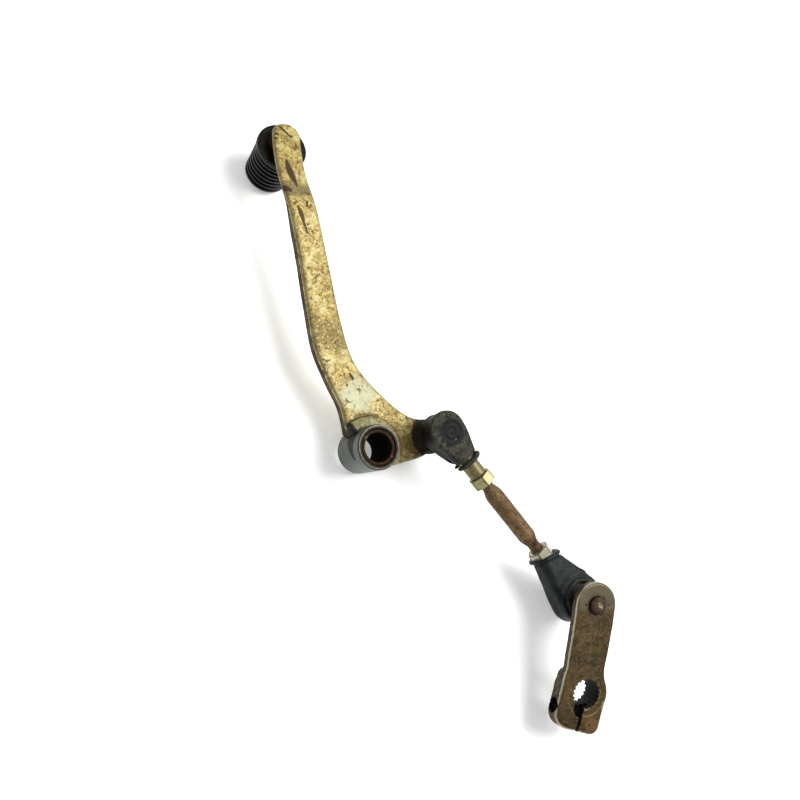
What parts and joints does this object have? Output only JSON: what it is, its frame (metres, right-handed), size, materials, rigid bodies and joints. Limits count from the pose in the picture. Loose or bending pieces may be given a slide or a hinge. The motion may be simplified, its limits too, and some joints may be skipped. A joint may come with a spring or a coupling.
{
  "type": "motorcycle gear shift lever",
  "caption": "Worn gear shift lever: cranked pedal on a pivot tube with a ribbed toe rubber, and a ball-jointed adjustable rod to a splined clamp arm.",
  "frame": {"origin": "on the pivot axis, at the pivot tube's engine-side end face", "axes": "+Z along the pivot axis towards the linkage side, +Y along the pedal lever towards the toe, +X towards the linkage"},
  "size_m": [0.1615, 0.2763, 0.0721],
  "materials": {
    "zinc_yellow": "worn yellow zinc plate with brown pits",
    "steel_grey": "worn grey steel with rust stains",
    "weld": "dark rough weld",
    "bush": "dirty bronze",
    "peg": "plain steel",
    "toe_rubber": "glossy black ribbed rubber",
    "boot_rubber": "dusty faded black rubber",
    "rod_end": "dull yellow zinc plate",
    "stud": "dark steel with red-brown rust",
    "seat": "natural nylon",
    "rust": "brown rust",
    "zinc_silver": "bright zinc plate",
    "arm_steel": "brown-tan tarnished steel with dark pits"
  },
  "bodies": {
    "lever": {"lever_arm": "zinc_yellow", "pivot_tube": "steel_grey", "pivot_bush": "bush", "pivot_weld_upper": "weld", "pivot_weld_lower": "weld", "toe_peg": "peg", "toe_peg_weld": "weld", "toe_rubber": "toe_rubber", "front_ball_stud": "stud"},
    "front_seat": {"front_ball_seat": "seat"},
    "front_rod_end": {"front_rod_end": "rod_end", "front_seat_cap": "rod_end", "front_boot": "boot_rubber", "front_locknut": "zinc_yellow"},
    "tie_rod": {"tie_rod": "rust"},
    "rear_rod_end": {"rear_rod_end": "rod_end", "rear_seat_cap": "rod_end", "rear_boot": "boot_rubber", "rear_locknut": "zinc_silver"},
    "rear_seat": {"rear_ball_seat": "seat"},
    "shift_arm": {"shift_arm": "arm_steel", "rear_ball_stud": "stud"}
  },
  "joints": [
    {"name": "front_tilt", "type": "hinge", "parent": "lever", "child": "front_seat", "pos_m": [0.032, 0.0076, 0.024], "axis": [0.7325, 0.6807, 0], "range_deg": [-10, 10]},
    {"name": "front_swing", "type": "hinge", "parent": "front_seat", "child": "front_rod_end", "pos_m": [0.032, 0.0076, 0.024], "axis": [0, 0, 1], "range_deg": [-75, 105]},
    {"name": "rod_turn", "type": "hinge", "parent": "front_rod_end", "child": "tie_rod", "pos_m": [0.032, 0.0076, 0.024], "axis": [0.6807, -0.7325, 0], "range_deg": [0, 360]},
    {"name": "rod_length", "type": "slide", "parent": "front_rod_end", "child": "rear_rod_end", "axis": [0.6807, -0.7325, 0], "range_m": [0, 0.004]},
    {"name": "rear_swing", "type": "hinge", "parent": "rear_rod_end", "child": "rear_seat", "pos_m": [0.10075, -0.06639, 0.024], "axis": [0, 0, 1], "range_deg": [-80, 140]},
    {"name": "rear_tilt", "type": "hinge", "parent": "rear_seat", "child": "shift_arm", "pos_m": [0.10075, -0.06639, 0.024], "axis": [0.7932, -0.6089, 0], "range_deg": [-24, 5.5]}
  ]
}
